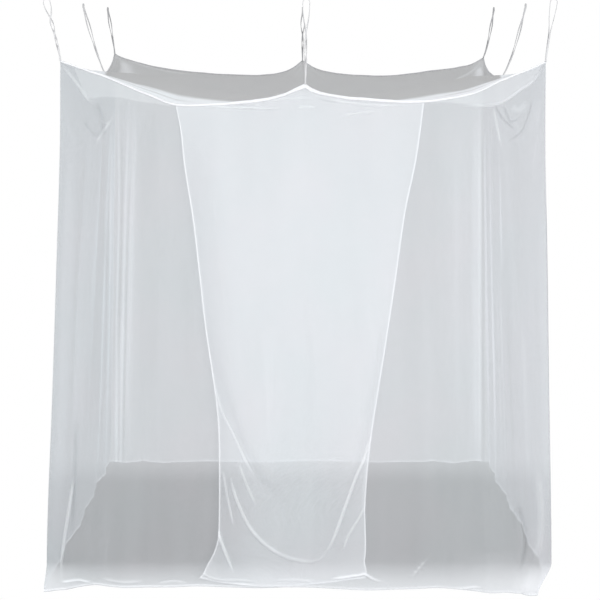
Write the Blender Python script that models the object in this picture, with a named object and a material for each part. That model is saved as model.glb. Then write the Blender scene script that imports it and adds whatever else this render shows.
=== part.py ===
"""Box-shaped mosquito net canopy, hung by eight twisted tape loops, its hem on the floor.

Metres, +Z up. The origin is on the floor under the middle of the net, +X runs to the right
and +Y to the back. The net is fine mesh, far under 4 mm, so its sheets are plain cloth:
a slack roof panel, a back wall, two side walls and two front panels that overlap as a door.
"""
import math

import bpy
import bmesh
from mathutils import Vector

# ---- driving sizes ------------------------------------------------------------------
SHEET = 0.0016            # thickness that the netting is built with
TAPE_HEIGHT = 0.012       # binding tape folded over the roof seam, seen from the side
TAPE_THICK = 0.005        # the same tape with the seam inside it
ROOF_GAP = 0.0009         # between the binding and the edge of the roof sewn into it
SEAM_GAP = 0.0009         # between the binding, which slopes, and a wall or a loop's foot
CORNER_GAP = 0.0008       # between two walls where their corner seam runs
STRAND = 0.006            # thickness of a strand of a hanging loop
STRAND_OFFSET = 0.0048    # from a loop's middle line to each of its two strands
EYE_RADIUS = 0.013        # open eye at the top of a loop
HOOK_HEIGHT = 2.300       # middle line of each loop ends here, under its ceiling hook
DOOR_STEP_TOP = 0.0012    # door panels lie this far either side of the seam at the hem,
DOOR_STEP = 0.008         # and this far lower down
DOOR_STEP_DROP = 0.12     # share of the drop over which that distance grows

STATIONS = 18             # hem points along each side; the walls have twice as many columns
CROWDING = 0.5            # how much the columns crowd towards the supports
EDGE_SPACE = 0.01         # a door panel's last column keeps this share from its free edge
WALL_ROWS = (0.0, 0.035, 0.09, 0.17, 0.28, 0.41, 0.55, 0.69, 0.82, 0.93, 1.0)

# ---- supports: where each loop is sewn to the hem, and the hook it pulls towards -----
SUPPORTS = {
    # name: (x, y, height of the hem), (hook x, hook y)
    "front_left": ((-0.899, -0.845, 2.070), (-0.938, -0.885)),
    "mid_front": ((0.028, -0.845, 1.981), (0.031, -0.880)),
    "front_right": ((0.937, -0.845, 2.066), (0.955, -0.885)),
    "mid_right": ((0.886, 0.040, 1.982), (0.982, 0.040)),
    "back_right": ((0.907, 0.925, 2.055), (0.956, 0.950)),
    "mid_back": ((0.020, 0.925, 2.041), (0.020, 0.950)),
    "back_left": ((-0.901, 0.925, 2.076), (-0.933, 0.950)),
    "mid_left": ((-0.845, 0.040, 2.004), (-0.928, 0.040)),
}
# ---- corners of the walls at the floor, and how each is dragged on the floor ----------
FLOOR = {
    # name: (x, y), (drag x, drag y)
    "front_left": ((-1.000, -0.880), (-0.004, -0.057)),
    "front_right": ((1.006, -0.890), (-0.066, -0.085)),
    "back_right": ((0.972, 0.955), (0.010, 0.012)),
    "back_left": ((-0.963, 0.955), (-0.012, 0.008)),
}

# ---- the slack hem between supports: rows of (share of the span, height) --------------
HEM = {
    # side: (start, middle, end), first span, second span
    "front": (("front_left", "mid_front", "front_right"),
              ((0.08, 2.044), (0.18, 2.012), (0.36, 1.943), (0.47, 1.906), (0.63, 1.905),
               (0.80, 1.911), (0.90, 1.940)),
              ((0.03, 1.962), (0.10, 1.942), (0.27, 1.920), (0.49, 1.912), (0.69, 1.946),
               (0.82, 1.998), (0.94, 2.042))),
    "right": (("front_right", "mid_right", "back_right"),
              ((0.25, 2.036), (0.50, 2.017), (0.75, 1.998)),
              ((0.33, 1.980), (0.67, 1.994), (0.89, 2.022))),
    "back": (("back_left", "mid_back", "back_right"),
             ((0.04, 2.055), (0.24, 2.007), (0.45, 1.983), (0.61, 1.973), (0.82, 1.973),
              (0.93, 1.997)),
             ((0.09, 1.997), (0.26, 1.973), (0.48, 1.968), (0.70, 1.990), (0.92, 2.019))),
    "left": (("front_left", "mid_left", "back_left"),
             ((0.25, 2.046), (0.50, 2.030), (0.75, 2.014)),
             ((0.25, 2.004), (0.50, 2.017), (0.80, 2.042))),
}
OUTWARD = {"front": (0.0, -1.0), "right": (1.0, 0.0), "back": (0.0, 1.0), "left": (-1.0, 0.0)}

# ---- how the walls spread from hem to floor: rows of (share of the drop, share of spread)
SPREAD = ((0.0, 0.0), (0.16, 0.10), (0.40, 0.36), (0.63, 0.62), (0.82, 0.86), (0.93, 0.97),
          (1.0, 1.0))

# ---- main folds: rows of (share along the wall, half width in metres, depth outwards,
#      share of the drop where it starts, sideways lean over the whole drop in metres)
FOLDS = {
    "front": ((0.035, 0.030, 0.012, 0.10, 0.010), (0.085, 0.045, -0.014, 0.06, 0.020),
              (0.150, 0.060, 0.010, 0.12, 0.010), (0.270, 0.070, -0.012, 0.15, 0.060),
              (0.400, 0.090, 0.012, 0.22, 0.040), (0.530, 0.080, -0.010, 0.30, 0.000),
              (0.660, 0.090, 0.012, 0.20, -0.050), (0.790, 0.060, -0.012, 0.12, -0.030),
              (0.880, 0.045, 0.012, 0.06, -0.010), (0.950, 0.035, -0.014, 0.08, 0.010)),
    "right": ((0.080, 0.040, -0.016, 0.08, 0.000), (0.180, 0.050, 0.018, 0.10, 0.020),
              (0.300, 0.060, -0.018, 0.12, -0.020), (0.430, 0.055, 0.020, 0.05, 0.010),
              (0.560, 0.055, -0.020, 0.05, 0.020), (0.690, 0.050, 0.020, 0.10, -0.010),
              (0.800, 0.040, -0.022, 0.08, 0.010), (0.880, 0.032, 0.022, 0.06, 0.010),
              (0.945, 0.026, -0.018, 0.05, 0.000)),
    "back": ((0.035, 0.028, -0.020, 0.05, 0.010), (0.080, 0.030, 0.022, 0.06, 0.010),
             (0.135, 0.036, -0.018, 0.08, 0.015), (0.240, 0.080, 0.012, 0.15, 0.030),
             (0.390, 0.090, -0.012, 0.20, 0.000), (0.560, 0.100, 0.012, 0.20, 0.000),
             (0.720, 0.090, -0.012, 0.15, -0.030), (0.860, 0.036, 0.018, 0.08, -0.010),
             (0.915, 0.030, -0.022, 0.06, -0.010), (0.962, 0.026, 0.018, 0.05, 0.000)),
    "left": ((0.070, 0.040, 0.014, 0.08, 0.000), (0.170, 0.050, -0.018, 0.10, 0.010),
             (0.300, 0.060, 0.018, 0.12, -0.020), (0.420, 0.050, -0.018, 0.05, 0.010),
             (0.550, 0.055, 0.020, 0.05, 0.020), (0.680, 0.050, -0.020, 0.10, -0.010),
             (0.790, 0.040, 0.022, 0.08, 0.010), (0.870, 0.034, -0.022, 0.06, 0.010),
             (0.940, 0.028, 0.018, 0.05, 0.000)),
}
FOLD_GROWTH = 0.30        # share of the drop over which a fold comes to its full depth
FOLD_FREE = 0.045         # share of the wall next to a corner seam where the folds die out

# ---- the floor end of the walls kicks outwards: rows of (share, metres) ---------------
KICK = {
    "front": ((0.0, 0.0), (0.04, -0.008), (0.20, 0.010), (0.45, 0.004), (0.66, 0.012),
              (0.80, 0.010), (0.90, 0.045), (1.0, 0.0)),
    "right": ((0.0, 0.0), (0.20, 0.004), (0.45, 0.006), (0.70, 0.002), (1.0, 0.0)),
    "back": ((0.0, 0.0), (0.25, 0.004), (0.50, 0.013), (0.80, 0.004), (1.0, 0.0)),
    "left": ((0.0, 0.0), (0.20, 0.008), (0.50, 0.000), (0.75, 0.012), (1.0, 0.0)),
}
KICK_START = 0.92         # share of the drop where the kick begins
DRAG_REACH = 0.10         # share of a wall that a dragged corner takes with it

# ---- free edges of the two front panels: rows of (share of the drop, x in metres) -----
RIGHT_PANEL_EDGE = ((0.0, -0.470), (0.05, -0.447), (0.12, -0.432), (0.23, -0.399),
                    (0.45, -0.361), (0.61, -0.322), (0.69, -0.313), (0.87, -0.316),
                    (0.95, -0.355), (1.0, -0.400))
LEFT_PANEL_EDGE = ((0.0, 0.476), (0.11, 0.455), (0.22, 0.415), (0.37, 0.373), (0.50, 0.336),
                   (0.69, 0.284), (0.82, 0.265), (1.0, 0.267))

# ---- roof: slack cloth, drawn up to its hem, with taut creases between mid supports ---
ROOF_FRONT = 1.893        # height that the slack middle of the roof keeps near the front
ROOF_BACK = 1.958         # and near the back
ROOF_SIDE_LIFT = 0.020    # it keeps this much higher near the sides
ROOF_DRAW = 5             # how soon the roof falls from its hem to that height
CREASE_RISE = 0.020       # a crease above the cloth beside it
CREASE_WIDTH = 0.070      # share of the roof over which a crease falls away
CREASE_FADE = 20.0        # how soon a crease comes to its full rise, going in from the hem

# ---- finishes ------------------------------------------------------------------------
ROOF_COLOR = (0.62, 0.62, 0.63, 1.0)
NET_COLOR = (0.86, 0.88, 0.89, 1.0)
TAPE_COLOR = (0.90, 0.90, 0.90, 1.0)
NET_ROUGHNESS = 0.8
TAPE_ROUGHNESS = 0.7


def through(rows, t):
    """Smooth curve through rows of (place, value), read at place t."""
    rows = list(rows)
    t = min(max(t, rows[0][0]), rows[-1][0])
    k = 0
    while k < len(rows) - 2 and t > rows[k + 1][0]:
        k += 1

    def slope(i):
        a, b = max(i - 1, 0), min(i + 1, len(rows) - 1)
        return (rows[b][1] - rows[a][1]) / (rows[b][0] - rows[a][0])

    (t0, y0), (t1, y1) = rows[k], rows[k + 1]
    width = t1 - t0
    s = (t - t0) / width
    return (y0 * (1 + 2 * s) * (1 - s) ** 2 + y1 * s * s * (3 - 2 * s)
            + slope(k) * width * s * (1 - s) ** 2 - slope(k + 1) * width * s * s * (1 - s))


def ease(t):
    """Rise from 0 to 1 with level ends."""
    t = min(max(t, 0.0), 1.0)
    return t * t * (3.0 - 2.0 * t)


def station_share(k, count):
    """Share along a side of point k of count, crowded towards the three supports."""
    t = k / count
    return t - CROWDING * math.sin(4 * math.pi * t) / (4 * math.pi)


# ---- the hem -------------------------------------------------------------------------
def hem_curve(side, share):
    """Point of the roof seam on one side, share 0 to 1 from its first to its last corner."""
    names, first, second = HEM[side]
    half = 0 if share <= 0.5 else 1
    t = share * 2 - half
    start = Vector(SUPPORTS[names[half]][0])
    end = Vector(SUPPORTS[names[half + 1]][0])
    rows = [(0.0, start.z)] + list((first, second)[half]) + [(1.0, end.z)]
    point = start.lerp(end, t)
    point.z = through(rows, t)
    return point


def hem_point(side, share):
    """The seam as it is built: straight between the hem's stations."""
    shares = [station_share(k, STATIONS) for k in range(STATIONS + 1)]
    k = 0
    while k < STATIONS - 1 and share > shares[k + 1]:
        k += 1
    t = (share - shares[k]) / (shares[k + 1] - shares[k])
    return hem_curve(side, shares[k]).lerp(hem_curve(side, shares[k + 1]), t)


# ---- the walls -----------------------------------------------------------------------
def fold_depth(side, share, drop, length):
    """How far the wall's main folds stand out at a place."""
    depth = 0.0
    for centre, half_width, out, start, lean in FOLDS[side]:
        away = (share - centre) * length - lean * drop
        depth += out * math.exp(-(away / half_width) ** 2) * ease((drop - start) / FOLD_GROWTH)
    return depth * ease(min(share, 1.0 - share) / FOLD_FREE)


def drag(names, share, drop):
    """How a wall's foot follows the corners that are dragged along the floor."""
    moved = Vector((0.0, 0.0))
    for name, away in ((names[0], share), (names[2], 1.0 - share)):
        moved += Vector(FLOOR[name][1]) * ease(1.0 - away / DRAG_REACH)
    return moved * ease((drop - KICK_START) / (1.0 - KICK_START))


def wall_point(side, share, drop, step=0.0):
    """Middle of the wall's thickness; step moves a door panel out or in."""
    names = HEM[side][0]
    top = hem_point(side, share)
    floor_start = Vector(FLOOR[names[0]][0])
    floor_end = Vector(FLOOR[names[2]][0])
    length = (floor_end - floor_start).length
    flat = top.to_2d().lerp(floor_start.lerp(floor_end, share), through(SPREAD, drop))
    kick = through(KICK[side], share) * ease((drop - KICK_START) / (1.0 - KICK_START))
    out = fold_depth(side, share, drop, length) + kick + step
    flat += Vector(OUTWARD[side]) * out + drag(names, share, drop)
    seam = top.z - TAPE_HEIGHT / 2 - SEAM_GAP
    return Vector((flat.x, flat.y, seam * (1.0 - drop)))


def door_step(own_corner_share, share, drop, way):
    """The overlap's clearance, which closes towards the panel's own corner seam."""
    step = DOOR_STEP_TOP + (DOOR_STEP - DOOR_STEP_TOP) * ease(drop / DOOR_STEP_DROP)
    return way * step * ease(abs(share - own_corner_share) / FOLD_FREE)


def new_object(name, mesh, material):
    mesh.materials.append(material)
    made = bpy.data.objects.new(name, mesh)
    bpy.context.scene.collection.objects.link(made)
    return made


def cloth_sheet(name, columns, rows, place, material):
    """A grid of netting, each point put in place by its column and row, made solid."""
    bm = bmesh.new()
    bmesh.ops.create_grid(bm, x_segments=columns, y_segments=rows, size=1.0)
    for vert in bm.verts:
        column = round((vert.co.x + 1.0) / 2.0 * columns)
        row = round((1.0 - vert.co.y) / 2.0 * rows)
        vert.co = place(column, row)
    mesh = bpy.data.meshes.new(name)
    bm.to_mesh(mesh)
    bm.free()
    mesh.shade_smooth()
    sheet = new_object(name, mesh, material)
    solid = sheet.modifiers.new("thickness", "SOLIDIFY")
    solid.thickness = SHEET
    solid.offset = 0.0
    return sheet


def plain_wall(side, name, material):
    """Back or side wall; the side walls stop just short of the walls they are sewn to."""
    columns = 2 * STATIONS
    length = (hem_point(side, 1.0) - hem_point(side, 0.0)).length
    shares = [station_share(k, columns) for k in range(columns + 1)]
    if side != "back":
        shares[0] += (SHEET / 2 + CORNER_GAP) / length
        shares[-1] -= (SHEET / 2 + CORNER_GAP) / length

    def place(column, row):
        point = wall_point(side, shares[column], WALL_ROWS[row])
        if side == "back" and column in (0, columns):
            point.x += SHEET / 2 if column else -SHEET / 2
        return point

    return cloth_sheet(name, columns, len(WALL_ROWS) - 1, place, material)


def front_panel(name, edge_rows, corner_share, way, material):
    """One door panel, from its corner seam to its free edge."""
    corner_x = hem_point("front", corner_share).x
    width = hem_point("front", 1.0).x - hem_point("front", 0.0).x
    edge_top = corner_share + (edge_rows[0][1] - corner_x) / width
    whole = [station_share(k, 2 * STATIONS) for k in range(2 * STATIONS + 1)]
    span = abs(edge_top - corner_share) - EDGE_SPACE
    inside = [s for s in whole if abs(s - corner_share) < span]
    shares = sorted(inside + [edge_top])

    def place(column, row):
        drop = WALL_ROWS[row]
        left = wall_point("front", 0.0, drop).x
        right = wall_point("front", 1.0, drop).x
        edge = (through(edge_rows, drop) - left) / (right - left)
        reach = (shares[column] - corner_share) / (edge_top - corner_share)
        share = corner_share + (edge - corner_share) * reach
        step = door_step(corner_share, share, drop, way)
        point = wall_point("front", share, drop, step)
        if reach == 0.0:
            point.x += (SHEET / 2) * (1.0 if corner_share else -1.0)
        return point

    return cloth_sheet(name, len(shares) - 1, len(WALL_ROWS) - 1, place, material)


# ---- the roof ------------------------------------------------------------------------
def slack_height(u, v):
    """Height that the roof would keep far from its hem."""
    return ROOF_FRONT + (ROOF_BACK - ROOF_FRONT) * v + ROOF_SIDE_LIFT * (2 * u - 1) ** 2


def roof_height(u, v):
    """Slack middle, drawn up to the hem on all four sides, with creases across corners."""
    height = slack_height(u, v)
    pull = {"front": (1 - v) ** ROOF_DRAW, "back": v ** ROOF_DRAW,
            "left": (1 - u) ** ROOF_DRAW, "right": u ** ROOF_DRAW}
    hem = {"front": (u, 0.0), "back": (u, 1.0), "left": (0.0, v), "right": (1.0, v)}
    for side, strength in pull.items():
        share = u if side in ("front", "back") else v
        height += strength * (hem_point(side, share).z - slack_height(*hem[side]))
    for side, row in (("front", 0.0), ("back", 1.0)):
        for end, column in (("left", 0.0), ("right", 1.0)):
            above = hem_point(side, column).z - slack_height(column, row)
            height -= pull[side] * pull[end] * above
    edge = min(1.0, CREASE_FADE * u * (1 - u) * v * (1 - v))
    crease = abs(abs(u - 0.5) + abs(v - 0.5) - 0.5) / CREASE_WIDTH
    return height + CREASE_RISE * math.exp(-crease) * edge


def roof_point(u, v):
    """Surface that spans the four sides of the hem."""
    near = hem_point("front", 0.0).lerp(hem_point("front", 1.0), u)
    far = hem_point("back", 0.0).lerp(hem_point("back", 1.0), u)
    point = (hem_point("front", u).lerp(hem_point("back", u), v)
             + hem_point("left", v).lerp(hem_point("right", v), u) - near.lerp(far, v))
    point.z = roof_height(u, v)
    return point


def net_roof(material):
    """Roof panel, its edge drawn in from the seam by half the tape and a gap."""
    middle = (roof_point(0.5, 0.0) + roof_point(0.5, 1.0)) / 2
    half_width = (hem_point("front", 1.0).x - hem_point("front", 0.0).x) / 2
    shrink = 1.0 - (TAPE_THICK / 2 + ROOF_GAP) / half_width

    def place(column, row):
        u = station_share(column, STATIONS)
        v = station_share(STATIONS - row, STATIONS)
        point = roof_point(u, v)
        point.x = middle.x + (point.x - middle.x) * shrink
        point.y = middle.y + (point.y - middle.y) * shrink
        return point

    return cloth_sheet("net_roof", STATIONS, STATIONS, place, material)


# ---- the binding ---------------------------------------------------------------------
def roof_binding(material):
    """Tape round the whole roof seam: an upright band, given its thickness."""
    shares = [station_share(k, STATIONS) for k in range(STATIONS)]
    ring = [hem_point("front", s) for s in shares] + [hem_point("right", s) for s in shares]
    ring += [hem_point("back", 1.0 - s) for s in shares]
    ring += [hem_point("left", 1.0 - s) for s in shares]
    bm = bmesh.new()
    verts = [bm.verts.new(p - Vector((0, 0, TAPE_HEIGHT / 2))) for p in ring]
    edges = [bm.edges.new((verts[k - 1], verts[k])) for k in range(len(verts))]
    grown = bmesh.ops.extrude_edge_only(bm, edges=edges)["geom"]
    raised = [g for g in grown if isinstance(g, bmesh.types.BMVert)]
    bmesh.ops.translate(bm, verts=raised, vec=(0, 0, TAPE_HEIGHT))
    bmesh.ops.recalc_face_normals(bm, faces=bm.faces[:])
    mesh = bpy.data.meshes.new("roof_binding")
    bm.to_mesh(mesh)
    bm.free()
    band = new_object("roof_binding", mesh, material)
    solid = band.modifiers.new("thickness", "SOLIDIFY")
    solid.thickness = TAPE_THICK
    solid.offset = 0.0
    solid.use_even_offset = True
    return band


# ---- the hanging loops ---------------------------------------------------------------
LOOPS = {
    # name: turns of the twist, angle of the first strand in degrees (0 is +X, 90 is +Y), and
    # how much lower than its support its feet stand, where the hem falls away on both sides
    "front_left": (1.5, 0.0, 0.0005),
    "mid_front": (2.0, 180.0, 0.0012),
    "front_right": (1.0, 180.0, 0.0005),
    "mid_right": (1.5, 90.0, 0.0),
    "back_right": (1.5, 0.0, 0.0005),
    "mid_back": (2.0, 0.0, 0.0013),
    "back_left": (1.0, 180.0, 0.0005),
    "mid_left": (1.5, 270.0, 0.0),
}
STRAND_STEPS = 13         # points up each strand, besides the one just above its foot
EYE_STEPS = 4             # points round the eye
EYE_START = 0.72          # share of the height where the strands part towards the eye
SEATED_SHARE = 0.022      # share of the height that a strand stands upright on the tape
LEAN_SHARE = 0.06         # share over which it takes up its lean towards the hook


def loop_route(name):
    """Middle line of one loop: up one strand, round the eye and down the other."""
    (x, y, z), (hook_x, hook_y) = SUPPORTS[name]
    turns, first_angle, lower = LOOPS[name]
    foot = Vector((x, y, z + TAPE_HEIGHT / 2 + SEAM_GAP - lower))
    top = Vector((hook_x, hook_y, HOOK_HEIGHT - EYE_RADIUS))
    axis = top - foot
    across = Vector((1, 0, 0))
    depth = Vector((0, 1, 0))

    def strand(t, turned):
        angle = math.radians(first_angle) + 2 * math.pi * turns * ease(t) + turned
        parted = ease((t - EYE_START) / (1.0 - EYE_START))
        offset = STRAND_OFFSET + (EYE_RADIUS - STRAND_OFFSET) * parted
        lean = t * t / (t + LEAN_SHARE) * (1.0 + LEAN_SHARE)
        middle = foot + Vector((axis.x * lean, axis.y * lean, axis.z * t))
        return middle + (across * math.cos(angle) + depth * math.sin(angle)) * offset

    places = [0.0, SEATED_SHARE] + [k / STRAND_STEPS for k in range(1, STRAND_STEPS + 1)]
    up = [strand(t, 0.0) for t in places]
    down = [strand(t, math.pi) for t in reversed(places)]
    half = up[-1] - top
    eye = []
    for k in range(1, EYE_STEPS):
        angle = math.pi * k / EYE_STEPS
        rise = Vector((0, 0, EYE_RADIUS * math.sin(angle)))
        eye.append(top + half * math.cos(angle) + rise)
    return up + eye + down


def hanging_loop(name, material):
    route = loop_route(name)
    curve = bpy.data.curves.new("loop_" + name, "CURVE")
    curve.dimensions = "3D"
    curve.bevel_depth = STRAND / 2
    curve.bevel_resolution = 2
    curve.use_fill_caps = True
    spline = curve.splines.new("POLY")
    spline.points.add(len(route) - 1)
    for point, place in zip(spline.points, route):
        point.co = (place.x, place.y, place.z, 1.0)
    return new_object("loop_" + name, curve, material)


def finish(name, color, roughness):
    material = bpy.data.materials.new(name)
    material.use_nodes = True
    shader = material.node_tree.nodes["Principled BSDF"]
    shader.inputs["Base Color"].default_value = color
    shader.inputs["Roughness"].default_value = roughness
    shader.inputs["Metallic"].default_value = 0.0
    return material


for old in list(bpy.data.objects):
    bpy.data.objects.remove(old, do_unlink=True)

net_roof(finish("roof netting", ROOF_COLOR, NET_ROUGHNESS))
plain_wall("back", "net_back_wall", finish("back netting", NET_COLOR, NET_ROUGHNESS))
plain_wall("left", "net_left_wall", finish("left netting", NET_COLOR, NET_ROUGHNESS))
plain_wall("right", "net_right_wall", finish("right netting", NET_COLOR, NET_ROUGHNESS))
front_panel("net_front_left_panel", LEFT_PANEL_EDGE, 0.0, -1.0,
            finish("inner door netting", NET_COLOR, NET_ROUGHNESS))
front_panel("net_front_right_panel", RIGHT_PANEL_EDGE, 1.0, 1.0,
            finish("outer door netting", NET_COLOR, NET_ROUGHNESS))
roof_binding(finish("binding tape", TAPE_COLOR, TAPE_ROUGHNESS))
for loop_name in LOOPS:
    hanging_loop(loop_name, finish("loop tape " + loop_name, TAPE_COLOR, TAPE_ROUGHNESS))
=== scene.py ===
"""Looks of a box-shaped mosquito net: sheer white netting, a slack roof, a door of two
overlapping front panels, and eight twisted tape loops. Metres, +Z up, +Y to the back."""
import math

import bmesh
import bpy
import numpy as np
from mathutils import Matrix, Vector


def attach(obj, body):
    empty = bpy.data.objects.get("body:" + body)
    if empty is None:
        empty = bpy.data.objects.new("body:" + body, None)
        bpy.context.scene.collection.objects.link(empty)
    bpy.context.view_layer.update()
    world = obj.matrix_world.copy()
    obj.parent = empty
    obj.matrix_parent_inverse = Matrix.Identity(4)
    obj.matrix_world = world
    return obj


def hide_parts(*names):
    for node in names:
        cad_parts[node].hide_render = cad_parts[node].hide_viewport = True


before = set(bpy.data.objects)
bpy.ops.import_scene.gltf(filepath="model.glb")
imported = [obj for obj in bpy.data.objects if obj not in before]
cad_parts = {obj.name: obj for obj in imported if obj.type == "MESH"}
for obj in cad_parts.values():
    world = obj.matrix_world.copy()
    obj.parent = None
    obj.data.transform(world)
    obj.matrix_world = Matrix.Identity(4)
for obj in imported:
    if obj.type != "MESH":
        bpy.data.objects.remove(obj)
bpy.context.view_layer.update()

# ---- camera --------------------------------------------------------------------------
# A long lens a little above the roof, square on to the door and tilted down at the middle
# of the net.
camera = bpy.data.objects.new("camera", bpy.data.cameras.new("camera"))
camera.location = (0.0075, -6.7997, 2.1678)
camera.rotation_euler = (math.radians(90.0 - 9.668), 0.0, 0.0)
camera.data.lens = 93.41
camera.data.sensor_width = 36.0
bpy.context.scene.collection.objects.link(camera)
bpy.context.scene.camera = camera

# ---- hanging loops -------------------------------------------------------------------
# Narrow white woven tape, doubled and twisted round itself: one loop at each corner of the
# roof seam and one at the middle of each side. Both ends of a loop are sewn into the
# binding, and the eye at its top hangs on a hook.
SUPPORTS = {
    # name: (x, y, height of the roof seam), (hook x, hook y)
    "front_left": ((-0.899, -0.845, 2.07), (-0.938, -0.885)),
    "mid_front": ((0.028, -0.845, 1.981), (0.031, -0.88)),
    "front_right": ((0.937, -0.845, 2.066), (0.955, -0.885)),
    "mid_right": ((0.886, 0.04, 1.982), (0.982, 0.04)),
    "back_right": ((0.907, 0.925, 2.055), (0.956, 0.95)),
    "mid_back": ((0.02, 0.925, 2.041), (0.02, 0.95)),
    "back_left": ((-0.901, 0.925, 2.076), (-0.933, 0.95)),
    "mid_left": ((-0.845, 0.04, 2.004), (-0.928, 0.04)),
}
LOOPS = {
    # name: turns of the twist, angle of the first strand in degrees, lower than its support,
    # bowed out of line along X
    "front_left": (1.25, 90.0, 0.0005, 0.0),
    "mid_front": (0.75, 90.0, 0.0012, 0.0),
    "front_right": (0.25, 90.0, 0.0005, 0.0),
    "mid_right": (0.5, 90.0, 0.0, 0.016),
    "back_right": (0.5, 90.0, 0.0005, 0.008),
    "mid_back": (1.0, 90.0, 0.0013, 0.0),
    "back_left": (0.5, 90.0, 0.0005, 0.0),
    "mid_left": (0.5, 270.0, 0.0, -0.008),
}
BAND_HEIGHT = 0.012       # of the binding before it is drawn tight: the loops' feet stand on it
SEAM_GAP = 0.0009         # and this far above it
FOOT_OFFSET = 0.0032      # from a loop's middle to either strand, at its foot
EYE_RADIUS = 0.013
EYE_START = 0.40          # from this share of its height up the strands part, to the eye's width
HOOK_HEIGHT = 2.300
LEAN_SHARE = 0.06         # a loop stands upright at its foot, over about this share
BOW_LOW = 0.6             # below 1, a bowed loop is furthest out in its lower half
SEWN_DEPTH = 0.005        # the ends go this far down into the binding
TAPE_WIDTH = 0.006
TAPE_SHEET = 0.0028       # the woven tape is folded double lengthwise
TAPE_SQUARE = 0.6         # below 1, a folded tape is squarer than an oval
TAPE_SIDES = 12           # points round the tape
STRAND_STEPS = 72         # points up a strand
EYE_STEPS = 14            # points round the eye
TAPE_CURL = 0.35          # radians that a tape turns to and fro about its own line
LOOP_WHITE = (0.56, 0.56, 0.57, 1.0)
# grey of the tapes' painted shade and of stitching thread
SHADE_AND_STITCH_GREY = (0.25, 0.25, 0.26, 1.0)
BACK_SHADE_FROM = -0.45         # painted shade: tape is greyer from here to the back
BACK_SHADE_RISE = 0.6           # by this much for each metre
RIB_PITCH = 0.0011
STITCH_PITCH = 0.0042
STITCH_HALF = 0.0005      # half width of a row of stitches


def ease(t):
    """Rise from 0 to 1 with level ends."""
    t = np.clip(t, 0.0, 1.0)
    return t * t * (3.0 - 2.0 * t)


class Wire:
    """An output of a finish's node, so that sums on it are written in Python."""

    def __init__(self, finish, socket):
        self.finish = finish
        self.socket = socket

    def sum(self, operation, first, second=0.0):
        return self.finish.add("ShaderNodeMath", {"operation": operation}, {0: first, 1: second})

    def __add__(self, other):
        return self.sum("ADD", self, other)

    def __sub__(self, other):
        return self.sum("SUBTRACT", self, other)

    def __rsub__(self, other):
        return self.sum("SUBTRACT", other, self)

    def __mul__(self, other):
        return self.sum("MULTIPLY", self, other)

    def __pow__(self, other):
        return self.sum("POWER", self, other)

    def __gt__(self, other):
        return self.sum("GREATER_THAN", self, other)

    def __lt__(self, other):
        return self.sum("LESS_THAN", self, other)

    __radd__ = __add__
    __rmul__ = __mul__

    def size(self):
        return self.sum("ABSOLUTE", self)

    def wave(self, pitch):
        """0 to 1 and back, once in each pitch."""
        return self.sum("SINE", self * (math.pi / pitch)).size()

    def larger(self, other):
        return self.sum("MAXIMUM", self, other)

    def held(self):
        return self.finish.add("ShaderNodeClamp", {}, {0: self})


class Finish:
    """The nodes of one finish."""

    def __init__(self, owner):
        owner.use_nodes = True
        self.tree = owner.node_tree
        self.tree.nodes.clear()

    def add(self, kind, settings, inputs, output=0):
        node = self.tree.nodes.new(kind)
        for name, value in settings.items():
            setattr(node, name, value)
        for name, value in inputs.items():
            if isinstance(value, Wire):
                self.tree.links.new(value.socket, node.inputs[name])
            else:
                node.inputs[name].default_value = value
        if node.outputs:
            return Wire(self, node.outputs[output])

    def mixed(self, share, first, second):
        """A colour between two colours."""
        inputs = {0: share, 6: first, 7: second}
        return self.add("ShaderNodeMix", {"data_type": "RGBA"}, inputs, 2)

    def lengths(self):
        """The piece's own UV map, in metres of cloth, and its two parts."""
        uv = self.add("ShaderNodeUVMap", {"uv_map": "UVMap"}, {})
        across = self.add("ShaderNodeSeparateXYZ", {}, {0: uv})
        return uv, across, Wire(self, across.socket.node.outputs[1])

    def worn(self, sockets):
        """Ends the finish in one shader."""
        shader = self.add("ShaderNodeBsdfPrincipled", {}, sockets)
        self.add("ShaderNodeOutputMaterial", {}, {0: shader})


def woven_tape(name, white, stitch_row=None):
    """White ribbed tape with painted shade between its ribs and painted shade that greys it away
    from the door, with a row of stitches if it is sewn down."""
    material = bpy.data.materials.new(name)
    finish = Finish(material)
    uv, across, along = finish.lengths()
    ribs = along.wave(RIB_PITCH)
    soft = finish.add("ShaderNodeTexNoise", {}, {"Vector": uv, "Scale": 60.0, "Detail": 3.0})
    place = finish.add("ShaderNodeTexCoord", {}, {}, "Object")
    depth = finish.add("ShaderNodeSeparateXYZ", {}, {0: place}, "Y")
    # painted shade: greyer towards the back by its place, and between the ribs, with a random
    # tone from the noise
    away = (BACK_SHADE_RISE * (depth - BACK_SHADE_FROM)).held()
    shade = (0.10 * (1.0 - ribs) + 0.5 * (soft - 0.42)).held() + away * 0.7
    color = finish.mixed(shade.held(), white, SHADE_AND_STITCH_GREY)
    height = ribs * 0.5 + soft
    if stitch_row is not None:
        thread = ((across - stitch_row).size() < STITCH_HALF) * (along.wave(STITCH_PITCH) > 0.4)
        color = finish.mixed(thread * 0.4, color, SHADE_AND_STITCH_GREY)
        height = height - thread * 2.0
    bump = finish.add("ShaderNodeBump", {}, {"Strength": 0.5, "Distance": 0.0004,
                                             "Height": height})
    finish.worn({"Base Color": color, "Roughness": 0.75, "Normal": bump})
    return material


def dressed(name, bm, material, node):
    """A finished piece in the scene, in the place of its CAD solid."""
    mesh = bpy.data.meshes.new(name)
    bm.to_mesh(mesh)
    bm.free()
    mesh.shade_smooth()
    mesh.materials.append(material)
    piece = bpy.data.objects.new(name, mesh)
    bpy.context.scene.collection.objects.link(piece)
    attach(piece, "root")
    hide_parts(node)
    return piece


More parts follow.
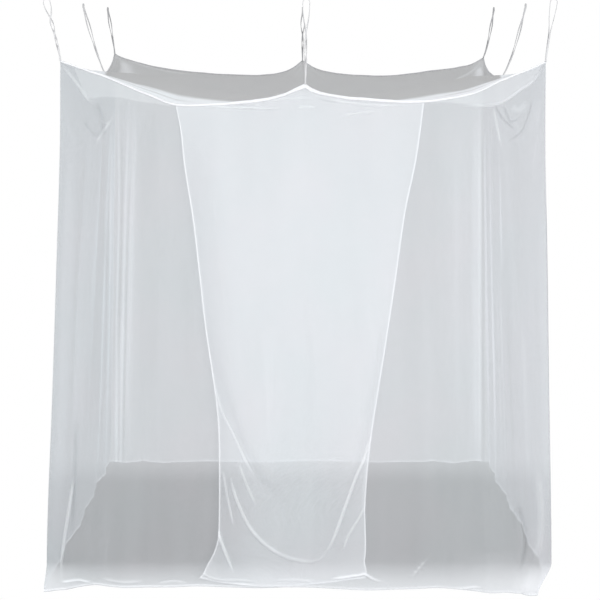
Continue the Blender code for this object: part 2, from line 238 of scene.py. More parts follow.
def rolled(sides, steps, place, around, length, ring):
    """A grid rolled round a line: place gives each point by its side and step. Its UV map
    is around metres wide and length metres long. A ring joins its two ends."""
    bm = bmesh.new()
    uv_layer = bm.loops.layers.uv.new("UVMap")
    bmesh.ops.create_grid(bm, x_segments=sides, y_segments=steps, size=1.0, calc_uvs=True)
    for vert in bm.verts:
        side = round((vert.co.x + 1.0) / 2.0 * sides)
        step = round((vert.co.y + 1.0) / 2.0 * steps)
        vert.co = place(side % sides, step % steps if ring else step)
    for face in bm.faces:
        for corner in face.loops:
            uv = corner[uv_layer].uv
            corner[uv_layer].uv = (uv.x * around, uv.y * length)
    bmesh.ops.remove_doubles(bm, verts=bm.verts, dist=1e-7)
    if not ring:
        bmesh.ops.holes_fill(bm, edges=bm.edges, sides=0)
    bmesh.ops.recalc_face_normals(bm, faces=bm.faces)
    return bm


def loop_line(name):
    """A loop's points from foot to foot, and which way its tape is wide at each."""
    (x, y, z), (hook_x, hook_y) = SUPPORTS[name]
    turns, first_angle, lower, bow = LOOPS[name]
    foot = Vector((x, y, z + BAND_HEIGHT / 2 + SEAM_GAP - lower))
    top = Vector((hook_x, hook_y, HOOK_HEIGHT - EYE_RADIUS))
    axis = top - foot

    def strand(t, way):
        angle = math.radians(first_angle) + 2 * math.pi * turns * ease(t)
        away = Vector((math.cos(angle), math.sin(angle), 0.0))
        parted = ease((t - EYE_START) / (1.0 - EYE_START))
        offset = FOOT_OFFSET + (EYE_RADIUS - FOOT_OFFSET) * parted
        lean = t * t / (t + LEAN_SHARE) * (1.0 + LEAN_SHARE)
        bowed = bow * math.sin(math.pi * t ** BOW_LOW)
        middle = foot + Vector((axis.x * lean + bowed, axis.y * lean, axis.z * t))
        wide = Vector((-away.y, away.x, 0.0))
        curl = TAPE_CURL * math.sin(3 * math.pi * t) * (1.0 - t)
        return middle + away * (offset * way), wide * math.cos(curl) + away * math.sin(curl)

    shares = [k / STRAND_STEPS for k in range(STRAND_STEPS + 1)]
    up = [strand(t, 1.0) for t in shares]
    down = [strand(t, -1.0) for t in reversed(shares)]
    half = up[-1][0] - top
    eye = []
    for k in range(1, EYE_STEPS):
        angle = math.pi * k / EYE_STEPS
        rise = Vector((0.0, 0.0, EYE_RADIUS * math.sin(angle)))
        eye.append((top + half * math.cos(angle) + rise, up[-1][1]))
    line = up + eye + down
    sunk = Vector((0.0, 0.0, SEWN_DEPTH))
    return [(line[0][0] - sunk, line[0][1])] + line + [(line[-1][0] - sunk, line[-1][1])]


loop_tape = woven_tape("loop tape", LOOP_WHITE)
for loop_name in LOOPS:
    line = loop_line(loop_name)
    points = [point for point, wide in line]
    run = sum((b - a).length for a, b in zip(points, points[1:]))

    def tape_point(side, step):
        point, wide = line[step]
        ahead = points[min(step + 1, len(points) - 1)] - points[max(step - 1, 0)]
        thick = ahead.cross(wide).normalized()
        angle = 2 * math.pi * side / TAPE_SIDES
        flat = math.copysign(abs(math.sin(angle)) ** TAPE_SQUARE, math.sin(angle))
        return point + wide * (math.cos(angle) * TAPE_WIDTH / 2) + thick * (flat * TAPE_SHEET / 2)

    tape = dressed("loop_tape_" + loop_name,
                   rolled(TAPE_SIDES, len(line) - 1, tape_point, 2 * TAPE_WIDTH, run, False),
                   loop_tape, "loop_" + loop_name)

# ---- binding -------------------------------------------------------------------------
# White woven tape folded over the raw edges of the roof and the walls, all the way round,
# and stitched through near its lower edge. It sags between the loops that carry it.
HEM = {
    # side: (start, middle, end), then rows of (share of the span, height) for both spans
    "front": (("front_left", "mid_front", "front_right"),
              ((0.08, 2.044), (0.18, 2.012), (0.36, 1.943), (0.47, 1.906), (0.63, 1.908),
               (0.8, 1.922), (0.9, 1.941)),
              ((0.03, 1.962), (0.1, 1.943), (0.27, 1.926), (0.49, 1.919), (0.69, 1.946),
               (0.82, 1.998), (0.94, 2.042))),
    "right": (("front_right", "mid_right", "back_right"),
              ((0.25, 2.036), (0.5, 2.017), (0.75, 1.998)),
              ((0.33, 1.98), (0.67, 1.994), (0.89, 2.022))),
    "back": (("back_left", "mid_back", "back_right"),
             ((0.04, 2.055), (0.24, 2.007), (0.45, 1.983), (0.61, 1.973), (0.82, 1.973),
              (0.93, 1.997)),
             ((0.09, 1.997), (0.26, 1.973), (0.48, 1.968), (0.7, 1.99), (0.92, 2.019))),
    "left": (("front_left", "mid_left", "back_left"),
             ((0.25, 2.046), (0.5, 2.03), (0.75, 2.014)),
             ((0.25, 2.004), (0.5, 2.017), (0.8, 2.042))),
}
CROWDING = 0.5            # how much points crowd towards the supports
SIDE_STEPS = 120          # points along each side
BAND_SIDES = 12
BAND_LOOK = 0.0078        # height of the tape once it is folded and drawn tight
BAND_THICK = 0.0040
BAND_GIRTH = 2.4 * BAND_LOOK
BAND_STITCHES = 2.05 * BAND_LOOK    # where the stitches run, this far round the girth
BAND_WHITE = (0.72, 0.73, 0.75, 1.0)
BAND_TALLER = (
    # rows of (share of the front, how much taller the tape is where its seam is thicker)
    (0.0, 0.0), (0.3, 0.001), (0.4, 0.005), (0.46, 0.003), (0.5, 0.011), (0.54, 0.003),
    (0.6, 0.004), (0.72, 0.003), (0.8, 0.0), (1.0, 0.0))
BAND_WANDER = 0.00035     # how far the hand-sewn tape strays in each of its waves


def through(rows, t):
    """Smooth curve through rows of (place, value), read at the places t."""
    places = np.array([row[0] for row in rows], float)
    values = np.array([row[1] for row in rows], float)
    last = len(rows) - 1
    before = np.maximum(np.arange(last + 1) - 1, 0)
    after = np.minimum(np.arange(last + 1) + 1, last)
    slopes = (values[after] - values[before]) / (places[after] - places[before])
    t = np.clip(t, places[0], places[-1])
    k = np.clip(np.searchsorted(places, t) - 1, 0, last - 1)
    width = places[k + 1] - places[k]
    s = (t - places[k]) / width
    return (values[k] * (1 + 2 * s) * (1 - s) ** 2 + values[k + 1] * s * s * (3 - 2 * s)
            + slopes[k] * width * s * (1 - s) ** 2 - slopes[k + 1] * width * s * s * (1 - s))


def seam(side, share):
    """Points of the roof seam on one side, at shares from its first to its last corner."""
    names, first, second = HEM[side]
    share = np.asarray(share, float)
    points = np.empty(share.shape + (3,))
    for half, rows in enumerate((first, second)):
        start = np.array(SUPPORTS[names[half]][0])
        end = np.array(SUPPORTS[names[half + 1]][0])
        t = np.clip(share * 2 - half, 0.0, 1.0)
        place = start + (end - start) * t[..., None]
        place[..., 2] = through([(0.0, start[2]), *rows, (1.0, end[2])], t)
        here = share > 0.5 if half else share <= 0.5
        points[here] = place[here]
    return points


def crowded(count):
    """Shares of a side, closer together near its three loops."""
    t = np.arange(count) / count
    return t - CROWDING * np.sin(4 * np.pi * t) / (4 * np.pi)


shares = crowded(SIDE_STEPS)
band_line = np.concatenate([seam("front", shares), seam("right", shares),
                            seam("back", 1.0 - shares), seam("left", 1.0 - shares)])
steps = len(band_line)
ahead = np.roll(band_line, -1, axis=0) - band_line
normals = np.stack([ahead[:, 1], -ahead[:, 0]], axis=1)
normals /= np.linalg.norm(normals, axis=1)[:, None]
behind = np.roll(normals, 1, axis=0)
outward = (normals + behind) / (1.0 + (normals * behind).sum(axis=1))[:, None]
seam_run = float(np.linalg.norm(ahead, axis=1).sum())
turns = 2 * np.pi * np.arange(steps) / steps
wander = BAND_WANDER * (np.sin(37 * turns) + np.sin(61 * turns + 1.0) + np.sin(97 * turns + 2.0))
taller = np.zeros(steps)
taller[:SIDE_STEPS] = through(BAND_TALLER, shares)


def band_point(side, step):
    """A point of the tape, that many sides round it and steps along the seam."""
    angle = 2 * math.pi * side / BAND_SIDES
    flat = math.copysign(abs(math.cos(angle)) ** TAPE_SQUARE, math.cos(angle))
    out = flat * BAND_THICK / 2
    rise = math.sin(angle) * (BAND_LOOK + taller[step]) / 2 - taller[step] / 3
    x, y, z = band_line[step]
    x += outward[step][0] * out
    y += outward[step][1] * out
    return Vector((x, y, z + rise + wander[step]))


dressed("binding", rolled(BAND_SIDES, steps, band_point, BAND_GIRTH, seam_run, True),
        woven_tape("binding tape", BAND_WHITE, BAND_STITCHES), "roof_binding")

# ---- roof ----------------------------------------------------------------------------
# One rectangle of fine white polyester mesh, sewn into the binding on all four sides. It
# hangs slack between the loops, with taut creases from each middle loop to the next and
# short ones that run in from its corners.
ROOF_CUT = (1.90, 1.82)
ROOF_GRID = (201, 181)    # columns and rows of points
ROOF_FRONT = 1.893        # height of the slack cloth towards the front
ROOF_BACK = 1.958         # and towards the back
ROOF_SIDE_LIFT = 0.020    # and how much higher it is at both sides
ROOF_DRAW = 5             # the higher, the closer to its seam the cloth is already slack
TAUT_RISE = 0.020         # height of the taut creases
TAUT_WIDTH = 0.070        # and their half width, as a share of the roof
TAUT_FADE = 20.0          # the higher, the nearer to the seam they die out
CREASE_START = 0.22       # share of its length over which any other crease rises
CREASE_END = 0.30         # and over which it dies out
CREASE_MARKS = 6          # points along a crease for each of its route
ROOF_TUCK = 0.001         # the roof ends this far inside the seam's line
# The bunched cloth is denser, and the roof netting's painted shade also paints it lighter, a
# painted highlight.
FACETS = (
    # rows of (x, y): how far back the front corners' bunched cloth reaches
    (-0.9, 0.0), (-0.82, -0.1), (-0.76, -0.55), (-0.61, -0.55), (-0.53, -0.6), (-0.36, -0.7),
    (-0.24, -0.77), (-0.15, -0.87), (0.28, -0.87), (0.39, -0.77), (0.47, -0.72), (0.56, -0.66),
    (0.69, -0.6), (0.8, -0.55), (0.86, -0.1), (0.94, 0.0))
FACET_LAYERS = 0.95       # so many layers more lie bunched there than in the middle
FACET_EDGE = 0.06         # and they thin out over this distance
ROOF_CREASES = (
    # rows of (x, y) along a crease, half width, height, layers of cloth more
    (((-0.845, 0.06), (-0.56, -0.34), (-0.25, -0.86)), 0.15, 0.02, 0.0),
    (((0.886, 0.06), (0.62, -0.34), (0.34, -0.86)), 0.15, 0.02, 0.0),
    (((-0.87, 0.93), (-0.8, 0.48), (-0.73, -0.05)), 0.036, 0.006, 0.45),
    (((-0.895, 0.93), (-0.85, 0.6), (-0.82, 0.1)), 0.014, -0.006, -0.4),
    (((-0.87, 0.918), (-0.7, 0.84), (-0.46, 0.76)), 0.012, 0.006, 0.2),
    (((0.9, 0.93), (0.83, 0.45), (0.75, -0.03)), 0.022, 0.008, 0.6),
    (((0.902, 0.93), (0.87, 0.5), (0.81, 0.05)), 0.01, -0.006, -0.3),
    (((0.89, 0.92), (0.78, 0.62), (0.7, 0.25)), 0.012, 0.006, 0.3),
    (((-0.86, -0.8), (-0.64, -0.74), (-0.38, -0.79)), 0.014, 0.006, -0.6),
    (((-0.86, -0.7), (-0.68, -0.64), (-0.48, -0.69)), 0.014, 0.006, -0.5),
    (((0.89, -0.79), (0.7, -0.75), (0.5, -0.79)), 0.012, 0.006, -0.6),
    (((0.86, -0.69), (0.74, -0.65), (0.6, -0.7)), 0.012, 0.006, -0.5),
    (((0.028, -0.835), (-0.06, -0.6), (-0.09, -0.3)), 0.016, 0.01, 0.1),
    (((0.028, -0.835), (0.11, -0.64), (0.15, -0.38)), 0.014, 0.008, 0.1),
    (((0.02, 0.915), (-0.05, 0.7), (-0.07, 0.45)), 0.016, 0.003, 0.0),
    (((0.02, 0.915), (0.09, 0.73), (0.12, 0.52)), 0.014, 0.003, 0.0),
)
NET_COOL = (0.815, 0.853, 0.875, 1.0)
NET_LILAC = (0.858, 0.860, 0.890, 1.0)
NET_PITCH = 0.0016        # from one thread of the mesh to the next
NET_THREADS = 0.12        # how much the threads show in how much the mesh covers
NET_STREAKS = 0.07        # and how much the streaks do
HEM_STITCH = 0.22         # share of a hem's width where its stitches run
LEAST_LEAN = 0.2          # cloth seen more edge-on than this grows no denser
LEAST_GATHER = 0.2        # and cloth is never thinner than this many layers
MOST_GATHER = 5.0         # nor denser than this
HEM_WHITE = (0.90, 0.91, 0.93, 1.0)


def netting(name, cover, hem_cover, single_layer_shade=None):
    """Fine square mesh: sheer, denser where the cloth is gathered or doubled in a hem, in soft
    uneven streaks down its length, with a row of stitches along each hem. single_layer_shade,
    three shares of NET_LILAC, is a painted shade: its colour where it is a single layer, painted
    lighter up to its full colour where the cloth is gathered, bunched or creased."""
    material = bpy.data.materials.new(name)
    finish = Finish(material)
    uv, across, along = finish.lengths()
    gather = finish.add("ShaderNodeAttribute", {"attribute_name": "gather"}, {}, 2)
    hem = finish.add("ShaderNodeAttribute", {"attribute_name": "hem"}, {}, 2)
    threads = across.wave(NET_PITCH).larger(along.wave(NET_PITCH)) ** 4.0
    pulled = finish.add("ShaderNodeCombineXYZ", {}, {0: across * 9.0, 1: along * 0.7})
    streaks = finish.add("ShaderNodeTexNoise", {}, {"Vector": pulled, "Scale": 1.0,
                                                    "Detail": 4.0, "Roughness": 0.6})
    patches = finish.add("ShaderNodeTexNoise", {}, {"Vector": uv, "Scale": 2.2, "Detail": 2.0})
    crumple = finish.add("ShaderNodeTexNoise", {}, {"Vector": uv, "Scale": 38.0, "Detail": 3.0})
    base = cover + NET_THREADS * (threads - 0.55) + NET_STREAKS * (streaks - 0.5)
    sheer = 1.0 - (1.0 - base.held()) ** gather
    sewn = hem > 0.02
    stitches = (along + across).wave(0.0045) > 0.45
    thread = ((hem - HEM_STITCH).size() < 0.07) * stitches
    alpha = sheer + sewn * (hem_cover - sheer).larger(0.0)
    color = finish.mixed((3.0 * (patches - 0.33)).held(), NET_COOL, NET_LILAC)
    # painted shade: single-layer cloth is darkened, and gathered, bunched or creased cloth is
    # painted lighter
    if single_layer_shade:
        shaded_single_layer = tuple(part * share for part, share in zip(NET_LILAC, single_layer_shade + (1.0,)))
        color = finish.mixed((gather - 1.0).held(), shaded_single_layer, color)
    color = finish.mixed(sewn * 0.9, color, HEM_WHITE)
    color = finish.mixed(thread * 0.35, color, SHADE_AND_STITCH_GREY)
    bump = finish.add("ShaderNodeBump", {}, {"Strength": 0.35, "Distance": 0.0015,
                                             "Height": crumple + threads * 0.1})
    finish.worn({"Base Color": color, "Roughness": 0.8, "Alpha": alpha.held(), "Normal": bump})
    return material


def crease(a, b, route, width, depth):
    """A soft ridge, or a trough if depth is below 0, along a route of (a, b) points. It dies
    out towards both of its ends."""
    legs = np.array([0.0] + [math.dist(p, q) for p, q in zip(route, route[1:])]).cumsum()
    marks = np.linspace(0.0, legs[-1], CREASE_MARKS * len(route))
    line_a = through([(leg, p[0]) for leg, p in zip(legs, route)], marks)
    line_b = through([(leg, p[1]) for leg, p in zip(legs, route)], marks)
    nearest = np.full(a.shape, 1e9)
    place = np.zeros(a.shape)
    for k in range(len(marks) - 1):
        step_a, step_b = line_a[k + 1] - line_a[k], line_b[k + 1] - line_b[k]
        t = ((a - line_a[k]) * step_a + (b - line_b[k]) * step_b) / (step_a ** 2 + step_b ** 2)
        t = np.clip(t, 0.0, 1.0)
        away = np.hypot(a - line_a[k] - t * step_a, b - line_b[k] - t * step_b)
        closer = away < nearest
        nearest = np.where(closer, away, nearest)
        place = np.where(closer, (k + t) / (len(marks) - 1), place)
    fade = ease(place / CREASE_START) * ease((1.0 - place) / CREASE_END)
    return depth * fade * np.exp(-(nearest / width) ** 2)


def sheet(name, columns, rows, points, hem, layers, face, turned, material, node):
    """A grid of netting with its columns and rows at these lengths of cloth. Its UV map is
    in metres of cloth. gather says how much more cloth lies in a spot than on a flat single
    sheet that faces face."""
    bm = bmesh.new()
    bm.loops.layers.uv.new("UVMap")
    bmesh.ops.create_grid(bm, x_segments=len(columns) - 1, y_segments=len(rows) - 1, size=1.0)
    piece = dressed(name, bm, material, node)
    mesh = piece.data
    grid = np.empty(len(mesh.vertices) * 3, np.float32)
    mesh.vertices.foreach_get("co", grid)
    grid = grid.reshape(-1, 3)
    column = np.rint((grid[:, 0] + 1.0) / 2.0 * (len(columns) - 1)).astype(int)
    row = np.rint((1.0 - grid[:, 1]) / 2.0 * (len(rows) - 1)).astype(int)
    mesh.vertices.foreach_set("co", points[row, column].astype(np.float32).ravel())
    across = np.gradient(points, axis=1)
    down = np.gradient(points, axis=0)
    normal = np.cross(across, down)
    lean = np.abs(normal @ np.array(face)) / np.maximum(np.linalg.norm(normal, axis=2), 1e-12)
    gather = np.clip(layers / np.maximum(lean, LEAST_LEAN), LEAST_GATHER, MOST_GATHER)
    for attribute, values in (("gather", gather), ("hem", hem)):
        layer = mesh.attributes.new(attribute, "FLOAT", "POINT")
        layer.data.foreach_set("value", values[row, column].astype(np.float32))
    corners = np.empty(len(mesh.loops), np.int32)
    mesh.loops.foreach_get("vertex_index", corners)
    uv = np.stack([columns[column[corners]], rows[row[corners]]], axis=1)
    mesh.uv_layers["UVMap"].uv.foreach_set("vector", uv.astype(np.float32).ravel())
    if turned:
        mesh.flip_normals()
    mesh.update()
    return piece


def slack(u, v):
    """Height that the roof would keep far from its seam."""
    return ROOF_FRONT + (ROOF_BACK - ROOF_FRONT) * v + ROOF_SIDE_LIFT * (2 * u - 1) ** 2


def roof_points(u, v):
    """The roof spans its four seams and falls from them to its slack height."""
    front, back, left, right = (seam("front", u), seam("back", u), seam("left", v),
                                seam("right", v))
    corner = {(side, end): seam(side, np.array([float(end)]))[0]
              for side in ("front", "back") for end in (0, 1)}
    u3, v3 = u[..., None], v[..., None]
    near = corner["front", 0] + (corner["front", 1] - corner["front", 0]) * u3
    far = corner["back", 0] + (corner["back", 1] - corner["back", 0]) * u3
    points = (front + (back - front) * v3 + left + (right - left) * u3
              - near - (far - near) * v3)
    pulls = ((1 - v) ** ROOF_DRAW, v ** ROOF_DRAW, (1 - u) ** ROOF_DRAW, u ** ROOF_DRAW)
    zero, one = np.zeros_like(u), np.ones_like(u)
    height = slack(u, v)
    for pull, line, base in ((pulls[0], front, slack(u, zero)), (pulls[1], back, slack(u, one)),
                             (pulls[2], left, slack(zero, v)), (pulls[3], right, slack(one, v))):
        height = height + pull * (line[..., 2] - base)
    for side, end, pull, row in (("front", 0, pulls[0] * pulls[2], 0.0),
                                 ("front", 1, pulls[0] * pulls[3], 0.0),
                                 ("back", 0, pulls[1] * pulls[2], 1.0),
                                 ("back", 1, pulls[1] * pulls[3], 1.0)):
        height = height - pull * (corner[side, end][2] - slack(float(end), row))
    edge = np.minimum(1.0, TAUT_FADE * u * (1 - u) * v * (1 - v))
    away = np.abs(np.abs(u - 0.5) + np.abs(v - 0.5) - 0.5) / TAUT_WIDTH
    points[..., 2] = height + TAUT_RISE * np.exp(-away) * edge
    return points


u, v = np.meshgrid(np.linspace(0.0, 1.0, ROOF_GRID[0]), np.linspace(1.0, 0.0, ROOF_GRID[1]))
roof = roof_points(u, v)
forward = through(FACETS, roof[..., 0]) - roof[..., 1]
bunched = 1.0 + FACET_LAYERS * ease(forward / FACET_EDGE)
for route, width, depth, more in ROOF_CREASES:
    ridge = crease(roof[..., 0], roof[..., 1], route, width, 1.0)
    roof[..., 2] += ridge * depth
    bunched += ridge * more
middle = roof_points(np.array([0.5]), np.array([0.5]))[0]
roof[..., :2] = middle[:2] + (roof[..., :2] - middle[:2]) * (1.0 - ROOF_TUCK)
# The roof netting holds painted shade: grey where it is a single layer, painted lighter where it
# is bunched or creased.
roof_piece = sheet("roof_net", u[0] * ROOF_CUT[0], (1.0 - v[:, 0]) * ROOF_CUT[1], roof,
                   np.zeros_like(u), bunched, (0.0, 0.0, 1.0), False,
                   netting("roof netting", 0.62, 0.9, (0.60, 0.59, 0.565)),
                   "net_roof")

# ---- back wall -----------------------------------------------------------------------
# A full width of the same mesh, sewn to the side walls at its ends, with a narrow hem that
# stands on the floor. It hangs in curtain folds near its corners and nearly flat between.
FLOOR = {
    # name: (x, y) where a corner seam meets the floor, and how far it is dragged from there
    "front_left": ((-1.0, -0.88), (-0.004, -0.057)),
    "front_right": ((1.006, -0.89), (-0.066, -0.085)),
    "back_right": ((0.972, 0.955), (0.01, 0.012)),
    "back_left": ((-0.963, 0.955), (-0.012, 0.008)),
}
OUTWARD = {"front": (0.0, -1.0), "right": (1.0, 0.0), "back": (0.0, 1.0), "left": (-1.0, 0.0)}
SPREAD = (
    # rows of (share of the drop, how far from its seam to its foot a wall has spread)
    (0.0, 0.0), (0.16, 0.1), (0.4, 0.36), (0.63, 0.62), (0.82, 0.86), (0.93, 0.97), (1.0, 1.0))
FOLD_GROWTH = 0.30        # share of the drop over which a fold comes to its full depth
FOLD_FREE = 0.045         # share of the width beside a corner seam in which folds die out
KICK_START = 0.92         # share of the drop from which a foot wanders in and out
DRAG_START = 0.95         # and from which it is dragged over the floor at its corners
DRAG_REACH = 0.10         # share of the width that a corner drags along
WALL_TUCK = 0.003         # a wall's top edge lies this far below the seam's line
WALL_DROP = 2.05          # cut height of every wall
FOOT_HEM = 0.010
HEM_LIFT = 0.0009         # a hem's fold lies this far off its cloth
HEM_BEND = 0.0006         # length of cloth in the bend of that fold
BACK_CUT = (2.00, WALL_DROP)
BACK_FOLDS = (
    # share along the wall, half width, depth outwards, share of the drop where it starts, lean
    (0.035, 0.028, -0.02, 0.05, 0.01), (0.08, 0.03, 0.022, 0.06, 0.01),
    (0.135, 0.036, -0.018, 0.08, 0.015), (0.24, 0.08, 0.012, 0.15, 0.03),
    (0.39, 0.09, -0.012, 0.2, 0.0), (0.56, 0.1, 0.012, 0.2, 0.0),
    (0.72, 0.09, -0.012, 0.15, -0.03), (0.86, 0.036, 0.018, 0.08, -0.01),
    (0.915, 0.03, -0.022, 0.06, -0.01), (0.962, 0.026, 0.018, 0.05, 0.0))
BACK_KICK = (             # rows of (share along the wall, how far its foot stands out)
    (0.0, 0.0), (0.25, 0.004), (0.5, 0.013), (0.8, 0.004), (1.0, 0.0))
BACK_CREASES = (
    # rows of (x, height), half width, height of the ridge, layers of cloth more where a
    # pleat is folded over, or fewer where the cloth is pulled thin
    (((-0.888, 1.99), (-0.895, 1.356), (-0.922, 0.697), (-0.946, -0.4)), 0.005, 0.004, 0.9),
    (((-0.872, 1.95), (-0.88, 1.356), (-0.908, 0.697), (-0.94, -0.4)), 0.005, -0.004, -0.7),
    (((-0.828, 1.94), (-0.862, 1.356), (-0.892, 0.697), (-0.93, -0.4)), 0.006, 0.004, 1.0),
    (((-0.812, 1.7), (-0.845, 1.3), (-0.874, 0.697), (-0.915, -0.4)), 0.005, -0.003, -0.8),
    (((-0.799, 1.94), (-0.826, 1.356), (-0.855, 0.697), (-0.89, 0.08)), 0.009, 0.005, 0.5),
    (((-0.812, 1.98), (-0.836, 1.356), (-0.858, 0.697), (-0.89, -0.3)), 0.026, 0.008, 0.6),
    (((-0.88, 0.9), (-0.915, 0.45), (-0.932, 0.15), (-0.935, -0.4)), 0.014, 0.005, 0.8),
    (((-0.74, 1.96), (-0.745, 1.356), (-0.76, 0.697), (-0.78, 0.06)), 0.05, -0.01, -0.3),
    (((-0.56, 1.2), (-0.55, 0.7), (-0.575, 0.2)), 0.04, -0.01, -0.2),
    (((0.05, 1.9), (0.06, 1.1), (0.05, 0.3)), 0.11, 0.012, 0.2),
    (((0.6, 1.96), (0.605, 1.356), (0.61, 0.6)), 0.08, -0.012, -0.3),
    (((0.78, 1.94), (0.79, 1.356), (0.8, 0.697), (0.812, 0.06)), 0.06, 0.01, 0.3),
    (((0.872, 1.98), (0.888, 1.356), (0.901, 0.697), (0.925, -0.3)), 0.022, 0.008, 1.0),
    (((0.888, 1.96), (0.903, 1.356), (0.916, 0.697), (0.942, -0.4)), 0.006, 0.004, 1.0),
    (((0.903, 1.97), (0.92, 1.356), (0.934, 0.697), (0.962, -0.4)), 0.007, -0.005, -0.9),
)


def spaced(*rows):
    """Places from 0 on, from rows of (up to here, with about this spacing)."""
    places = [np.zeros(1)]
    start = 0.0
    for end, step in rows:
        count = max(1, round((end - start) / step))
        places.append(start + (end - start) * np.arange(1, count + 1) / count)
        start = end
    return np.concatenate(places)


def folds(rows, share, drop, length):
    """How far the main folds of a wall stand out, dying out at its corner seams."""
    depth = np.zeros_like(share)
    for centre, half_width, out, start, lean in rows:
        away = (share - centre) * length - lean * drop
        depth += out * np.exp(-(away / half_width) ** 2) * ease((drop - start) / FOLD_GROWTH)
    return depth * ease(np.minimum(share, 1.0 - share) / FOLD_FREE)


def wall(side, share, drop, fold_rows, kick_rows, creases, step=0.0):
    """Points of a hanging wall between the roof seam and the floor."""
    names = HEM[side][0]
    top = seam(side, share)
    start, end = (np.array(FLOOR[names[k]][0]) for k in (0, 2))
    length = math.dist(start, end)
    spread = through(SPREAD, drop)[..., None]
    floor = start + (end - start) * share[..., None]
    points = np.empty(share.shape + (3,))
    points[..., :2] = top[..., :2] * (1.0 - spread) + floor * spread
    points[..., 2] = (top[..., 2] - WALL_TUCK) * (1.0 - drop)
    near_floor = ease((drop - KICK_START) / (1.0 - KICK_START))
    dragged = ease((drop - DRAG_START) / (1.0 - DRAG_START))
    out = folds(fold_rows, share, drop, length) + through(kick_rows, share) * near_floor + step
    along = points[..., 0] if side in ("front", "back") else points[..., 1]
    height = points[..., 2]
    for route, width, depth, more in creases:
        out = out + crease(along, height, route, width, depth)
    for k in (0, 1):
        points[..., k] += OUTWARD[side][k] * out
        for name, away in ((names[0], share), (names[2], 1.0 - share)):
            points[..., k] += FLOOR[name][1][k] * ease(1.0 - away / DRAG_REACH) * dragged
    return points


def layers(side, points, creases):
    """How many layers of cloth lie in each spot."""
    along = points[..., 0] if side in ("front", "back") else points[..., 1]
    count = np.ones(along.shape)
    for route, width, depth, more in creases:
        count += crease(along, points[..., 2], route, width, more)
    return count


def hemmed(rows, cut, hem_width):
    """Lengths of cloth with a hem turned up at their end: the places where each lies, how far
    through the hem's two layers it is, and how much it is hem."""
    turned = cut + np.array([HEM_BEND, hem_width / 2, hem_width])
    under = rows[rows < cut - hem_width * 1.01]
    lengths = np.concatenate([under, cut - hem_width * np.array([1.0, 0.5, 0.0]), turned])
    places = np.where(lengths > cut, 2 * cut - lengths, lengths)
    hem = np.clip(1.0 - (cut - places) / hem_width, 0.0, 1.0)
    return lengths, places, (lengths > cut).astype(float), hem


def plain_wall(name, side, cut, columns, rows, fold_rows, kick_rows, creases, turned, material,
               node):
    """A back or side wall with a hem along its foot."""
    lengths, places, doubled, hem = hemmed(rows, cut[1], FOOT_HEM)
    share, drop = np.meshgrid(columns / cut[0], places / cut[1])
    points = wall(side, share, drop, fold_rows, kick_rows, creases)
    for k in (0, 1):
        points[..., k] -= OUTWARD[side][k] * HEM_LIFT * doubled[:, None]
    face = OUTWARD[side] + (0.0,)
    piece = sheet(name, columns, lengths, points, np.repeat(hem[:, None], len(columns), axis=1),
                  layers(side, points, creases), face, turned, material, node)


plain_wall("back_wall", "back", BACK_CUT,
           spaced((0.24, 0.0028), (1.80, 0.014), (2.00, 0.0028)),
           spaced((0.20, 0.010), (1.80, 0.016), (2.05, 0.008)),
           BACK_FOLDS, BACK_KICK, BACK_CREASES, True, netting("back netting", 0.26, 0.26),
           "net_back_wall")

